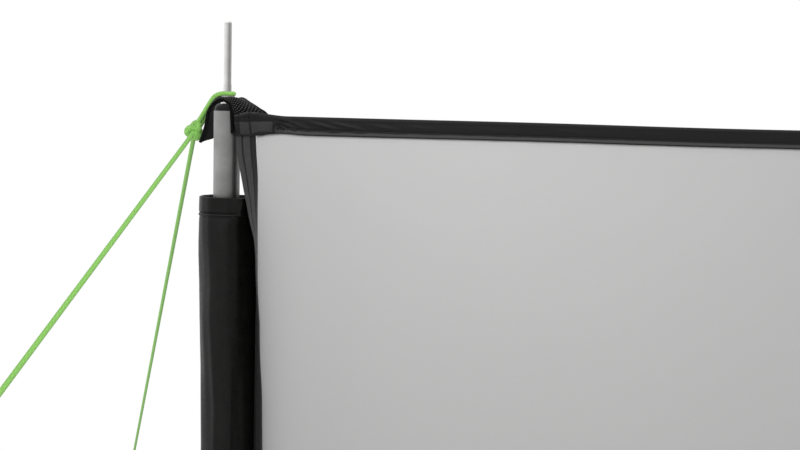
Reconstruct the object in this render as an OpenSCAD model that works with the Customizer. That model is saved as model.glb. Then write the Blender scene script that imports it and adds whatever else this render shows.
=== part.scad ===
// Windbreak: cloth bays between upright steel poles, held up by guy lines and ground pegs.
// Millimetres, +Z up. The origin is under the middle of the left-hand pole's foot.
// +X runs along the cloth, +Y points to the back.

/* [Layout] */
// Distance between neighbouring poles
bay_width = 1600; // [900:10:2200]
// Number of cloth bays in the run
bay_count = 3; // [2:1:4]
// Height from the ground to the top of a pole tube
pole_height = 1400; // [900:10:1800]

/* [Pole] */
// Outer diameter of a pole tube
tube_d = 19; // [18:0.1:20]
// Wall thickness of a pole tube
tube_wall = 1; // [0.8:0.1:1.5]
// Height of the plug's head above the tube
cap_rise = 5.3; // [4.5:0.1:6]
// Depth of the plug inside the tube
cap_depth = 22; // [16:1:40]
// Thickness of the plug's closed end, under the spike
plug_floor = 4; // [3:0.5:8]
// Diameter of the spike where straps and lines sit on it
shank_d = 5.8; // [5.6:0.1:6]
// Diameter of the free upper end of the spike
spike_d = 5.4; // [5:0.1:5.5]
// Height of the spike's tip above the tube
spike_rise = 63.9; // [50:0.1:80]
// Wall thickness of the foot cup
foot_wall = 1.95; // [1.5:0.05:3.5]
// Height of the foot cup
foot_h = 30; // [20:1:40]
// Thickness of the foot cup's floor
foot_floor = 4; // [3:0.5:6]

/* [Sleeve] */
// Depth of a sleeve from front to back
sleeve_depth = 30; // [28:0.5:32]
// Distance from an end pole's axis to the closed side of its sleeve
sleeve_reach = 19.3; // [17:0.1:22]
// Distance from a pole's axis to the seam along the cloth
seam_x = 21; // [20.5:0.1:24]
// Width of the slanted side that runs from the sleeve's front to the seam
seam_slant = 4; // [3:0.5:6]
// Cloth thickness of a sleeve
sleeve_t = 0.8; // [0.6:0.1:1]
// Drop from the tube's top to the sleeve's mouth
mouth_drop = 62.6; // [50:0.1:80]
// Height of the sleeve's lower mouth above the ground
mouth_lift = 62.6; // [45:0.1:90]
// Depth of the turned hem at a sleeve's mouth
mouth_hem = 13; // [8:0.5:18]
// Extra thickness of that turned hem
mouth_hem_t = 0.5; // [0.3:0.1:0.8]

/* [Cloth] */
// Thickness of a cloth panel
panel_t = 0.8; // [0.6:0.1:1]
// Thickness of the folded tape along the top and bottom edges
hem_t = 2.4; // [2:0.1:2.8]
// Depth of the folded tape
hem_depth = 14.2; // [12:0.1:18]
// Drop from the tube's top to the fold of the top tape
hem_drop = 2.6; // [2:0.1:5]
// Height of the bottom tape's fold above the ground
hem_lift = 8; // [5:0.5:30]
// Angle by which a corner of the cloth turns forward at a pole
corner_angle = 35; // [30:1:40]
// Length of the part of a hem that is turned forward
corner_len = 19.2; // [18:0.1:20]
// Width of the side tape
tape_w = 16; // [14:0.1:18]
// Thickness of the side tape
tape_t = 1.2; // [1:0.1:1.4]

/* [Strap] */
// Width of the webbing strap over a pole's top
strap_w = 24; // [22:0.5:26]
// Thickness of the webbing strap
strap_t = 1.4; // [1.2:0.1:1.6]
// Space between the plug's head and the middle of the strap
strap_gap = 3.9; // [3.6:0.1:4.6]
// Depth of the strap's loose end below the tube's top
flap_drop = 21.5; // [15:0.5:26]
// Outer diameter of an eyelet
eyelet_d = 11; // [10:0.1:12]
// Thickness of an eyelet's rim
eyelet_t = 0.5; // [0.4:0.1:0.7]

/* [Guy lines] */
// Diameter of the guy line
line_d = 3.3; // [3:0.1:3.6]
// Slope of a guy line below level
slope_angle = 34.1; // [30:0.1:42]
// Angle of an end pole's two lines to either side of straight out
spread_angle = 71.8; // [45:0.1:75]
// Distance of an end pole's knot from the pole's axis
knot_out = 23.1; // [22:0.1:28]
// Drop of an end pole's knot below the tube's top
knot_drop = 14.8; // [13:0.1:20]
// Diameter of a knot
knot_d = 12.4; // [11:0.1:13]
// Length of a knot
knot_len = 13; // [11:0.1:14]
// Distance from a peg to the runner on its line
runner_reach = 450; // [250:10:600]
// Length of a runner
runner_len = 32; // [30:1:40]
// Width of a runner
runner_w = 12; // [10:0.5:16]
// Thickness of a runner
runner_t = 6; // [5:0.5:8]
// Diameter of a peg's wire
peg_d = 5; // [4:0.1:6]
// Inside radius of a peg's hook
hook_r = 6; // [5:0.5:9]

/* [Hidden] */
$fn = 64;
fit_gap = 0.1;
line_sides = 10;
pole_count = bay_count + 1;
poles = [for (i = [1:1:pole_count]) i];
bays = [for (i = [1:1:bay_count]) i];
tube_r = tube_d / 2;
bore_r = tube_r - tube_wall;
half_depth = sleeve_depth / 2;
front_x = seam_x - seam_slant;
slant = atan2(half_depth, seam_slant);
// the side tape lies just outside the slanted side of the sleeve
tape_x = seam_x + (tape_t / 2 + mouth_hem_t + 2 * fit_gap) / sin(slant);
panel_x = tape_x + tape_t / 2 + fit_gap;
hem_top = pole_height - hem_drop;
mouth_top = pole_height - mouth_drop;
strap_z = cap_rise + strap_gap;
strap_r = tube_r + strap_t / 2 + 0.4;
sewn_y = hem_t / 2 + fit_gap + strap_t / 2;
rim_gap = 0.25;
// height of the first and second line loops on a spike, above the tube
loop_z = strap_z + strap_t / 2 + rim_gap + eyelet_t + fit_gap + line_d / 2;
loop_z2 = loop_z + line_d + fit_gap;
loop_r = shank_d / 2 + fit_gap + line_d / 2;
shank_top = loop_z2 + line_d;
barrel_r = shank_d / 2 + 1;
// where a line bends down and where its knot sits: [out, up] from the tube's top
end_bend = [strap_r - line_d / 4, strap_z - line_d / 3];
end_knot = [knot_out, -knot_drop];
edge_bend = [strap_w / 2 + line_d / 2, strap_z + strap_t / 2 + line_d / 2];
edge_bend2 = [edge_bend.x, edge_bend.y + line_d / 2];
knot_run = 14 / 12.4 * knot_d;
edge_knot = edge_bend + knot_run * [cos(slope_angle), -sin(slope_angle)];
edge_knot2 = edge_bend2 + knot_run * [cos(slope_angle), -sin(slope_angle)];
// how far from a knot's middle a line leaves it, at its side and at its end
side_start = 0.68 * knot_d;
end_start = knot_len / 2 + fit_gap;
peg_z = 3 * peg_d;
peg_side = peg_d / 2 + fit_gap + line_d / 2;
runner_side = runner_w;

for (i = poles) {
    at_pole(i) tube();
    at_pole(i) cap();
    at_pole(i) spike();
    at_pole(i) sleeve(is_end(i));
    at_pole(i) strap(is_end(i));
    at_pole(i) guy_loops(is_end(i));
    at_pole(i) guy_legs(is_end(i));
}
for (i = bays) {
    at_bay(i) panel();
    at_bay(i) top_hem();
    at_bay(i) bottom_hem();
    at_bay(i) side_tapes();
}
feet();
eyelets();
runners();
pegs();

// Places

function is_end(i) = i == 1 || i == pole_count;

// the last pole is the first one mirrored, so its open side faces out
module at_pole(i) {
    translate([(i - 1) * bay_width, 0, 0])
        if (i == pole_count) mirror([1, 0, 0]) children();
        else children();
}

module at_bay(i) {
    translate([(i - 1) * bay_width, 0, 0]) children();
}

// Poles

module tube() {
    color("#8d8e8c")
        translate([0, 0, foot_floor])
            difference() {
                cylinder(d = tube_d, h = pole_height - foot_floor);
                translate([0, 0, -1])
                    cylinder(r = bore_r, h = pole_height - foot_floor + 2);
            }
}

// plug with a domed head, bored for the spike
module cap() {
    plug_r = bore_r - fit_gap / 2;
    head_r = tube_r - tube_wall / 2;
    dome = 0.7 * cap_rise;
    lead_in = 2;
    hole_r = shank_d / 2 + fit_gap / 2;
    color("#1c1c1d")
        translate([0, 0, pole_height])
            rotate_extrude()
                polygon([
                    [0, -cap_depth],
                    [plug_r - lead_in / 2, -cap_depth],
                    [plug_r, lead_in - cap_depth],
                    [plug_r, 0],
                    for (a = [0:15:90]) [head_r - dome * (1 - cos(a)), cap_rise * sin(a)],
                    [hole_r, cap_rise],
                    [hole_r, plug_floor - cap_depth],
                    [0, plug_floor - cap_depth],
                ]);
}

// steel spike: a shank inside the plug and through the strap, then the free end
module spike() {
    tip = 1.2;
    color("#b9bcbf")
        translate([0, 0, pole_height])
            rotate_extrude()
                polygon([
                    [0, plug_floor - cap_depth],
                    [shank_d / 2, plug_floor - cap_depth],
                    [shank_d / 2, shank_top],
                    [spike_d / 2, shank_top],
                    [spike_d / 2, spike_rise - tip],
                    [spike_d / 2 - 2 / 3 * tip, spike_rise],
                    [0, spike_rise],
                ]);
}

module feet() {
    hole_r = tube_r + fit_gap / 2;
    cup_r = hole_r + foot_wall;
    chamfer = foot_wall / 3;
    color("#1c1c1d")
        for (i = poles)
            at_pole(i)
                rotate_extrude()
                    polygon([
                        [0, 0],
                        [cup_r - 2 * chamfer, 0],
                        [cup_r, 2 * chamfer],
                        [cup_r, foot_h - chamfer],
                        [cup_r - chamfer, foot_h],
                        [hole_r, foot_h],
                        [hole_r, foot_floor],
                        [0, foot_floor],
                    ]);
}

// Sleeves

// the corner and tip of the slanted side, moved in by a thickness
function slant_corner(inset) = front_x + (inset - inset / cos(slant)) / tan(slant);
function slant_tip(inset) = front_x + (half_depth - inset / cos(slant)) / tan(slant);

// an end sleeve is round on its closed side, and an inner one slants to a seam on both sides
module sleeve_outline(at_end, inset) {
    half = half_depth - inset;
    right = [[slant_corner(inset), half], [slant_tip(inset), 0], [slant_corner(inset), -half]];
    if (at_end) {
        round_x = half_depth - sleeve_reach;
        translate([round_x, 0]) circle(r = half);
        polygon(concat([[round_x, half]], right, [[round_x, -half]]));
    } else {
        polygon(concat(right, [for (p = right) -p]));
    }
}

module sleeve_wall(at_end, inset, height) {
    linear_extrude(height)
        difference() {
            sleeve_outline(at_end, inset);
            sleeve_outline(at_end, sleeve_t);
        }
}

module sleeve(at_end) {
    color("#242425") {
        translate([0, 0, mouth_lift + mouth_hem])
            sleeve_wall(at_end, 0, mouth_top - mouth_lift - 2 * mouth_hem);
        for (z = [mouth_lift, mouth_top - mouth_hem])
            translate([0, 0, z])
                sleeve_wall(at_end, -mouth_hem_t, mouth_hem);
    }
}

// Cloth

// a point beside the hem's middle line: forward along a turned corner, or along the straight
function on_corner(along, side) = [
    tape_x - along * cos(corner_angle) - side * sin(corner_angle),
    side * cos(corner_angle) - along * sin(corner_angle)
];
function at_bend(side) = [tape_x - side * tan(corner_angle / 2), side];
function mirrored(points) = [for (p = points) [bay_width - p.x, p.y]];
function reversed(list) = [for (k = [len(list) - 1:-1:0]) list[k]];
function hem_edge(side, length) =
    let (left = [on_corner(length, side), at_bend(side)])
    concat(left, reversed(mirrored(left)));

module hem_plan(thickness, length) {
    polygon(concat(hem_edge(thickness / 2, length), reversed(hem_edge(-thickness / 2, length))));
}

// tape folded over the cloth's edge, with a slot that the cloth stands in
module hem_band() {
    slot_t = panel_t + 2 * fit_gap;
    fold = hem_t / 2;
    difference() {
        linear_extrude(hem_depth) hem_plan(hem_t, corner_len);
        translate([0, 0, -fold])
            linear_extrude(hem_depth) hem_plan(slot_t, corner_len + fold);
    }
}

module top_hem() {
    color("#2a2a2b")
        translate([0, 0, hem_top - hem_depth])
            hem_band();
}

module bottom_hem() {
    color("#2a2a2b")
        translate([0, 0, hem_lift + hem_depth])
            mirror([0, 0, 1])
                hem_band();
}

module panel() {
    tuck = hem_t / 2 + 2 * fit_gap;
    low = hem_lift + tuck;
    color("#c4c4c2")
        translate([panel_x, -panel_t / 2, low])
            cube([bay_width - 2 * panel_x, panel_t, hem_top - tuck - low]);
}

// Side tapes: turned with the corner at each end, and turned further along the sleeve

function ease(t) = let (c = min(1, max(0, t))) c * c * (3 - 2 * c);
function tape_turn(z) =
    let (upper = ease((hem_top - hem_depth - z) / (mouth_drop - hem_drop - hem_depth)))
    let (lower = ease((z - hem_lift - hem_depth) / (mouth_lift - hem_lift - hem_depth)))
    corner_angle + (slant - corner_angle) * min(upper, lower);

function tape_row(z) =
    let (a = tape_turn(z))
    let (edge = [tape_x, 0, z])
    let (across = tape_w * [-cos(a), -sin(a), 0])
    let (out = tape_t / 2 * [sin(a), -cos(a), 0])
    [edge + out, edge + across + out, edge + across - out, edge - out];

module side_tapes() {
    low = hem_lift + hem_depth + fit_gap;
    high = hem_top - hem_depth - fit_gap;
    steps = 8;
    rows = concat(
        [for (k = [0:steps]) low + (mouth_lift - low) * k / steps],
        [for (k = [0:steps]) mouth_top + (high - mouth_top) * k / steps]
    );
    color("#48484a")
        for (side = [0, 1])
            translate([side * bay_width, 0, 0])
                mirror([side, 0, 0])
                    skin([for (z = rows) tape_row(z)]);
}

// Skins and swept lines

// closed solid through rows of points, each row a closed outline of the same length
module skin(rows) {
    n = len(rows[0]);
    last = len(rows) - 1;
    sides = [
        for (i = [0:last - 1], j = [0:n - 1])
            let (a = i * n + j)
            let (b = i * n + (j + 1) % n)
            each [[a, b + n, a + n], [a, b, b + n]]
    ];
    start = [for (j = [0:n / 2 - 2]) each [[j, n - 1 - j, j + 1], [j + 1, n - 1 - j, n - 2 - j]]];
    finish = [for (f = start) [f[0] + last * n, f[2] + last * n, f[1] + last * n]];
    polyhedron(points = [for (row = rows) each row], faces = concat(start, sides, finish));
}

// point on a smooth curve through a list of points, at position t counted in points
function blend(list, t) =
    let (last = len(list) - 1)
    let (k = min(floor(t), last - 1))
    let (s = t - k)
    let (a = list[max(k - 1, 0)])
    let (b = list[k])
    let (c = list[k + 1])
    let (d = list[min(k + 2, last)])
    b + s / 2 * (c - a + s * (2 * a - 5 * b + 4 * c - d + s * (3 * b - a - 3 * c + d)));

function unit(v) = v / norm(v);

// ring of points round a line's middle, square to the direction it runs in
function ring(p, run, up, r) =
    let (side = unit(cross(run, up)))
    let (top = cross(side, unit(run)))
    [for (k = [0:line_sides - 1])
        p + r * (side * cos(k * 360 / line_sides) + top * sin(k * 360 / line_sides))];

module line_along(path, up) {
    last = len(path) - 1;
    skin([
        for (k = [0:last])
            ring(path[k], path[min(k + 1, last)] - path[max(k - 1, 0)], up, line_d / 2)
    ]);
}

// Webbing strap: sewn behind the cloth's corner, turned a quarter and laid over the spike

function with_z(p, z) = [p.x, p.y, z];
function strap_side() = let (w = strap_w / 2, q = strap_w / 4, k = tube_d / 19, top = strap_z) [
    for (z = [k - hem_depth - hem_drop, -hem_drop - k / 2]) [
        with_z(on_corner(corner_len - 2 * k, sewn_y), z),
        with_z(on_corner(corner_len / 2 - k, sewn_y), z),
        with_z(at_bend(sewn_y), z),
        [tape_x + 8 * k, sewn_y, z]
    ],
    [[4.6 * k, 0.8 * k - w, 1.6 * k], [10.8 * k, -q - k / 2, 3 * k],
        [17 * k, 0.6 * k, 2.6 * k], [23.5 * k, 5.4 * k, 1.4 * k]],
    [[3.2 * k, -w, top - 4.6 * k], [8.2 * k, -q, top - 1.3 * k],
        [11.6 * k, 3.6 * k, top - 1.7 * k], [15.7 * k, 8.9 * k, top - 3.6 * k]],
    [[1.2 * k, -w, top - 2.4 * k], [5 * k, -q, top], [6 * k, q, top], [8.5 * k, w, top]]
];
function strap_loose() = let (w = strap_w / 2, q = strap_w / 4, k = tube_d / 19, r = strap_r, top = strap_z) [
    [[-2.4 * k, -w, top - 1.6 * k], [-0.8 * k, -q, top], [-0.4 * k, q, top], [0, w, top]],
    [[-6.8 * k, -w, top - 4.2 * k], [-6 * k, -q, top - 0.2 * k],
        [-6 * k, q, top - 0.2 * k], [-6.5 * k, w, top - 1.7 * k]],
    [[-r - 0.4 * k, -w, -0.4 * k], [-r - 0.2 * k, -q, 2.3 * k],
        [-r + 0.2 * k, q, 2.5 * k], [-r + 0.9 * k, w, 1.5 * k]],
    [[-r - 3.2 * k, -w, -0.6 * flap_drop], [-r - 1.9 * k, -q, -0.54 * flap_drop],
        [-r - 0.6 * k, q, -0.51 * flap_drop], [-r + 0.5 * k, w, -0.49 * flap_drop]],
    [[-r - 6.7 * k, -w, -1.4 * k - flap_drop], [-r - 4.5 * k, -q, -flap_drop],
        [-r - 2.2 * k, q, k - flap_drop], [-r - 0.2 * k, w, 2.4 * k - flap_drop]]
];
function strap_middle() = let (w = strap_w / 2, q = strap_w / 4, k = tube_d / 19, top = strap_z) [
    [[0, -w, top - 1.8 * k], [0, -q, top], [0, q, top], [0, w, top]]
];
function flipped(rows) = [for (row = reversed(rows)) [for (p = row) [-p.x, p.y, p.z]]];

// smooth grid through the strap's guide points, then both faces of its thickness
function strap_grid(guide) =
    let (rows = 4 * (len(guide) - 1), across = 6)
    [for (i = [0:rows])
        let (guide_row = [for (j = [0:3]) blend([for (row = guide) row[j]], i / 4)])
        [for (j = [0:across]) blend(guide_row, 3 * j / across)]];

function grid_normal(g, i, j) =
    let (last = len(g) - 1, end = len(g[0]) - 1)
    unit(cross(
        g[min(i + 1, last)][j] - g[max(i - 1, 0)][j],
        g[i][min(j + 1, end)] - g[i][max(j - 1, 0)]
    ));

module sheet_from(g) {
    end = len(g[0]) - 1;
    skin([
        for (i = [0:len(g) - 1])
            concat(
                [for (j = [0:end]) g[i][j] + strap_t / 2 * grid_normal(g, i, j)],
                [for (j = [end:-1:0]) g[i][j] - strap_t / 2 * grid_normal(g, i, j)]
            )
    ]);
}

module strap(at_end) {
    guide = at_end
        ? concat(strap_side(), strap_loose())
        : concat(strap_side(), strap_middle(), flipped(strap_side()));
    color("#2d2d2e")
        translate([0, 0, pole_height])
            difference() {
                sheet_from(strap_grid(guide));
                translate([0, 0, strap_z - 2 * strap_t])
                    cylinder(r = barrel_r + 2 * fit_gap, h = 4 * strap_t);
            }
}

// rolled eyelet: two rims and the barrel between them
module eyelets() {
    hole_r = shank_d / 2 + 3 * fit_gap;
    rim_r = eyelet_d / 2;
    inner = strap_t / 2 + rim_gap;
    outer = inner + eyelet_t;
    color("#a9a79c")
        for (i = poles)
            at_pole(i)
                translate([0, 0, pole_height + strap_z])
                    rotate_extrude()
                        polygon([
                            [hole_r, -outer],
                            [rim_r, -outer],
                            [rim_r, -inner],
                            [barrel_r, -inner],
                            [barrel_r, inner],
                            [rim_r, inner],
                            [rim_r, outer],
                            [hole_r, outer],
                        ]);
}

// Guy lines: a loop on the spike, a knot, and legs down to the pegs

// path of a loop from the knot's near face, round the spike and back
function knot_dir(bend, knot) = unit([knot.x - bend.x, 0, knot.y - bend.y]);
function loop_path(bend, knot, z) =
    let (face = [knot.x, 0, knot.y] - knot_dir(bend, knot) * (knot_len / 2 + fit_gap / 2))
    let (beside = [0, line_d / 2 + fit_gap / 2, 0])
    let (half = [
        face + beside,
        face * 0.5 + [bend.x, 0, bend.y] * 0.5 + beside * 1.6,
        [bend.x, loop_r - 0.3, bend.y],
        [bend.x * 0.4 + loop_r * 0.5, loop_r, z],
        for (a = [90:22.5:180]) [loop_r * cos(a), loop_r * sin(a), z]
    ])
    let (back = [for (k = [len(half) - 2:-1:0]) [half[k].x, -half[k].y, half[k].z]])
    let (guide = concat(half, back))
    [for (k = [0:2 * (len(guide) - 1)]) blend(guide, k / 2)];

// wound knot: three turns of line round the two strands
module knot_lump() {
    turns = 3;
    pitch = (knot_len - line_d) / (turns - 1);
    ring_r = knot_d / 2 - line_d / 2;
    rotate_extrude() {
        translate([0, -knot_len / 2]) square([ring_r, knot_len]);
        for (k = [0:turns - 1])
            translate([ring_r, (k - (turns - 1) / 2) * pitch]) circle(d = line_d, $fn = 32);
    }
}

module one_loop(bend, knot, z) {
    dir = knot_dir(bend, knot);
    line_along(loop_path(bend, knot, z), [0.5, 0, 0.87]);
    translate([knot.x, 0, knot.y])
        rotate([0, acos(dir.z), 0])
            knot_lump();
}

module guy_loops(at_end) {
    color("#93c66a")
        translate([0, 0, pole_height])
            if (at_end) {
                rotate(180) one_loop(end_bend, end_knot, loop_z);
            } else {
                rotate(-90) one_loop(edge_bend, edge_knot, loop_z);
                rotate(90) one_loop(edge_bend2, edge_knot2, loop_z2);
            }
}

// each leg's own frame: +X runs from the knot down to the peg, and +Y is level
function leg_len(knot) = (pole_height + knot.y - peg_z) / sin(slope_angle);
module leg_frame(knot, turn) {
    translate([knot.x, 0, pole_height + knot.y])
        rotate(turn)
            rotate([0, slope_angle, 0])
                children();
}

// the list of legs at a pole: [direction of the loop, knot, turn of the leg]
function legs_at(at_end) = at_end
    ? [[180, end_knot, spread_angle], [180, end_knot, -spread_angle]]
    : [[-90, edge_knot, 0], [90, edge_knot2, 0]];

module each_leg(at_end) {
    for (leg = legs_at(at_end))
        rotate(leg[0])
            leg_frame(leg[1], leg[2]) {
                $leg = leg_len(leg[1]);
                children();
            }
}

// single line down to the peg, round it, and back up to the runner
function leg_path(start, length) =
    let (back_x = length - runner_reach - runner_t / 2 - fit_gap)
    concat(
        [[start, 0, 0]],
        [for (a = [90:-22.5:-90]) [length + peg_side * cos(a), peg_side * sin(a), 0]],
        [[back_x, -runner_side, 0]]
    );

module guy_legs(at_end) {
    color("#93c66a")
        each_leg(at_end)
            line_along(leg_path(at_end ? side_start : end_start, $leg), [0, 0, 1]);
}

// bar with two holes that slides on the doubled part of a line
module runner() {
    hole_d = line_d * 1.18;
    main_y = peg_side * (1 - runner_reach / $leg);
    mid_y = (main_y - runner_side) / 2;
    translate([$leg - runner_reach - runner_t / 2, 0, 0])
        rotate([90, 0, 90])
            linear_extrude(runner_t)
                difference() {
                    translate([mid_y, 0]) {
                        square([runner_len - runner_w, runner_w], center = true);
                        for (s = [-1, 1])
                            translate([s * (runner_len - runner_w) / 2, 0]) circle(d = runner_w);
                    }
                    for (y = [main_y, -runner_side])
                        translate([y, 0]) circle(d = hole_d, $fn = 32);
                }
}

module runners() {
    color("#202021")
        for (i = poles)
            at_pole(i) each_leg(is_end(i)) runner();
}

// wire peg with a hook, cut off where it enters the ground
module peg() {
    bend_r = hook_r + peg_d / 2;
    rise = 2.8 * peg_d;
    tail = 1.6 * peg_d;
    sunk = 8 * peg_d;
    translate([$leg, 0, -sunk]) cylinder(d = peg_d, h = sunk + rise);
    translate([$leg + bend_r, 0, rise])
        rotate([90, 0, 0])
            rotate_extrude(angle = 180)
                translate([bend_r, 0]) circle(d = peg_d);
    translate([$leg + 2 * bend_r, 0, rise - tail]) cylinder(d = peg_d, h = tail);
}

module pegs() {
    far = 4 * pole_height;
    deep = 10 * peg_d;
    color("#8f9496")
        difference() {
            for (i = poles)
                at_pole(i) each_leg(is_end(i)) peg();
            translate([-far, -far, -deep]) cube([2 * far + bay_count * bay_width, 2 * far, deep]);
        }
}
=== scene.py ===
"""Looks of a beach windbreak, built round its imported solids: cloth, tapes, webbing, lines and metal.

Shapes are worked out in millimetres. Round a pole, x and y are from its axis and z is from the top of its
tube. The lamps and the floor are in metres.
"""
import math
from types import SimpleNamespace

import bpy
import numpy as np
from mathutils import Matrix, Vector


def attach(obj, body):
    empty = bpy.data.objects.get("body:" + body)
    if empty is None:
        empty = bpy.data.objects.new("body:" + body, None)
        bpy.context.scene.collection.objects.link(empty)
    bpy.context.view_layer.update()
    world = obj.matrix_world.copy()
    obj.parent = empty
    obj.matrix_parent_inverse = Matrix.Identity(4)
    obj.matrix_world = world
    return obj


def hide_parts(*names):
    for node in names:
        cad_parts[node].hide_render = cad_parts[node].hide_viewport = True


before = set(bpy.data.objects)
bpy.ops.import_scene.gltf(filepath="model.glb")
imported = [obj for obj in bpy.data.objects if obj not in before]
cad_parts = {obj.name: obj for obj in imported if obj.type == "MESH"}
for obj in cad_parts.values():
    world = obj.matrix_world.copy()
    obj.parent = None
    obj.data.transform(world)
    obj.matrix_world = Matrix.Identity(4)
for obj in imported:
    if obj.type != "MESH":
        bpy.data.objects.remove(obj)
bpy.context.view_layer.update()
scene = bpy.context.scene
scene.view_settings.view_transform = "Standard"

MM = 0.001

# Sizes repeated from the part's source
TOP = 1400.0
PITCH = 1600.0
POLES = 4
BAYS = 3
LINE_R = 1.65
BEND_X = 22.345
CORNER_ANGLE = math.radians(35)
CORNER_LEN = 19.2
HEM_DROP = 2.6
HEM_DEPTH = 14.2
HEM_LIFT = 8.0
MOUTH_DROP = 62.6
MOUTH_LIFT = 62.6
TAPE_W = 16.0
TAPE_T = 1.2
STRAP_W = 24.0
STRAP_T = 1.4
STRAP_Z = 9.2
STRAP_R = 10.6
FLAP_DROP = 21.5
LOOP_Z = 12.4
LOOP_Z2 = 15.8
LOOP_R = 4.65
SLOPE = math.radians(34.1)
SPREAD = math.radians(71.8)
PEG_Z = 15.0
PEG_SIDE = 4.25
RUNNER_REACH = 450.0
RUNNER_T = 6.0
RUNNER_SIDE = 12.0

# Stitches: seams square to the hem, and rows along the side tape and below a sleeve's mouth
STITCH_PITCH = 2.6
HEM_SEAMS = (9.3, 16.6)
TAPE_ROWS = (4.6, 11.4)
SLEEVE_ROWS = (11.3, 14.0)

# Camera, fitted to the photograph. Turn, pitch and roll are in degrees
CAMERA_ANGLES = (0.195, 5.883, 1.555)
CAMERA_PLACE = (129.4, -748.93, TOP - 2.04)
CAMERA_LENS = 46.48
CAMERA_SENSOR = 36.0


def add_camera():
    turn, pitch, roll = (math.radians(a) for a in CAMERA_ANGLES)
    level = Vector((-math.sin(turn), math.cos(turn), 0))
    across = Vector((math.cos(turn), math.sin(turn), 0))
    vertical = Vector((0, 0, 1))
    ahead = level * math.cos(pitch) - vertical * math.sin(pitch)
    above = level * math.sin(pitch) + vertical * math.cos(pitch)
    right = across * math.cos(roll) + above * math.sin(roll)
    up = above * math.cos(roll) - across * math.sin(roll)
    camera = bpy.data.objects.new("camera", bpy.data.cameras.new("camera"))
    camera.data.sensor_width = CAMERA_SENSOR
    camera.data.lens = CAMERA_LENS
    camera.data.clip_start = 0.02
    camera.data.clip_end = 200
    place = Matrix((right, up, -ahead)).transposed().to_4x4()
    place.translation = [MM * value for value in CAMERA_PLACE]
    camera.matrix_world = place
    scene.collection.objects.link(camera)
    scene.camera = camera


# Materials

class Nodes:
    """Short ways to add nodes to a node tree."""

    def __init__(self, tree):
        self.tree = tree

    def put(self, socket, value):
        if isinstance(value, bpy.types.NodeSocket):
            self.tree.links.new(value, socket)
        else:
            socket.default_value = value

    def node(self, kind, inputs=None, **settings):
        node = self.tree.nodes.new(kind)
        for key, value in settings.items():
            setattr(node, key, value)
        for key, value in (inputs or {}).items():
            self.put(node.inputs[key], value)
        return node

    def math(self, operation, a, b=0.0, c=0.0):
        return self.node("ShaderNodeMath", {0: a, 1: b, 2: c}, operation=operation).outputs[0]

    def between(self, value, low, high, out_low=0.0, out_high=1.0, kind="SMOOTHSTEP"):
        """Takes low to out_low and high to out_high, and goes no further."""
        return self.node(
            "ShaderNodeMapRange",
            {"Value": value, "From Min": low, "From Max": high, "To Min": out_low, "To Max": out_high},
            interpolation_type=kind,
        ).outputs[0]


class Shader(Nodes):
    """A Principled material, its coordinates and its patterns."""

    def __init__(self, name, **values):
        self.material = bpy.data.materials.new(name)
        self.material.use_nodes = True
        super().__init__(self.material.node_tree)
        self.bsdf = self.tree.nodes["Principled BSDF"]
        self.finish(**values)

    def finish(self, **values):
        for key, value in values.items():
            self.put(self.bsdf.inputs[key.replace("_", " ")], value)
        return self.material

    def uv(self):
        """The two surface coordinates, in millimetres."""
        split = self.node("ShaderNodeSeparateXYZ", {0: self.node("ShaderNodeUVMap").outputs[0]})
        return split.outputs[0], split.outputs[1]

    def noise(self, scale, detail, stretch=None):
        where = self.node("ShaderNodeTexCoord").outputs["Object"]
        if stretch:
            where = self.node("ShaderNodeMapping", {"Vector": where, "Scale": stretch}).outputs[0]
        noise = self.node("ShaderNodeTexNoise", {"Vector": where, "Scale": scale, "Detail": detail})
        return noise.outputs[0]

    def wave(self, value, pitch):
        """A cosine from 0 to 1 that repeats every pitch."""
        turns = self.math("MULTIPLY", value, 2 * math.pi / pitch)
        return self.math("MULTIPLY_ADD", self.math("COSINE", turns), 0.5, 0.5)

    def mix(self, share, a, b):
        return self.node("ShaderNodeMix", {0: share, 6: a, 7: b}, data_type="RGBA").outputs[2]

    def bump(self, height, distance, strength, under=None):
        inputs = {"Height": height, "Distance": distance, "Strength": strength}
        if under is not None:
            inputs["Normal"] = under
        return self.node("ShaderNodeBump", inputs).outputs[0]


def grey(level, warm=0.0):
    return (level * (1 + warm), level, level * (1 - warm), 1.0)


def stitches(m, along, across, rows, half):
    """Masks of straight rows of stitches: their threads, and the groove that the thread pulls in."""
    nearest = None
    for row in rows:
        off = m.math("ABSOLUTE", m.math("SUBTRACT", across, row))
        nearest = off if nearest is None else m.math("MINIMUM", nearest, off)
    line = m.between(nearest, half, 0.3 * half)
    dash = m.between(m.wave(along, STITCH_PITCH), 0.12, 0.4)
    return m.math("MULTIPLY", line, dash), m.between(nearest, 2.2 * half, 0.4 * half)


def plain_weave(m, pitch):
    """Height of a fine over-and-under weave."""
    u, v = m.uv()
    a = m.wave(m.math("ADD", u, v), pitch)
    b = m.wave(m.math("SUBTRACT", u, v), pitch)
    return m.math("MULTIPLY", a, b)


def steel(name, level, roughness, stretch, bump):
    m = Shader(name, Metallic=1.0)
    streak = m.noise(1.0, 4.0, stretch)
    blotch = m.noise(55.0, 4.0)
    colour = m.mix(m.between(blotch, 0.3, 0.7), grey(0.86 * level, 0.012), grey(1.1 * level, 0.004))
    rough = m.math("MULTIPLY_ADD", streak, 0.16, roughness - 0.08)
    return m.finish(Base_Color=colour, Roughness=rough, Normal=m.bump(streak, bump, 0.5))


def plastic(name, level, roughness):
    m = Shader(name, Specular_IOR_Level=0.22)
    grain = m.noise(2600.0, 2.0)
    wear = m.between(m.noise(140.0, 5.0), 0.45, 0.75)
    colour = m.mix(wear, grey(level), grey(1.9 * level))
    rough = m.math("MULTIPLY_ADD", wear, 0.15, roughness)
    return m.finish(Base_Color=colour, Roughness=rough, Normal=m.bump(grain, 0.00012, 0.5))


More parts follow.
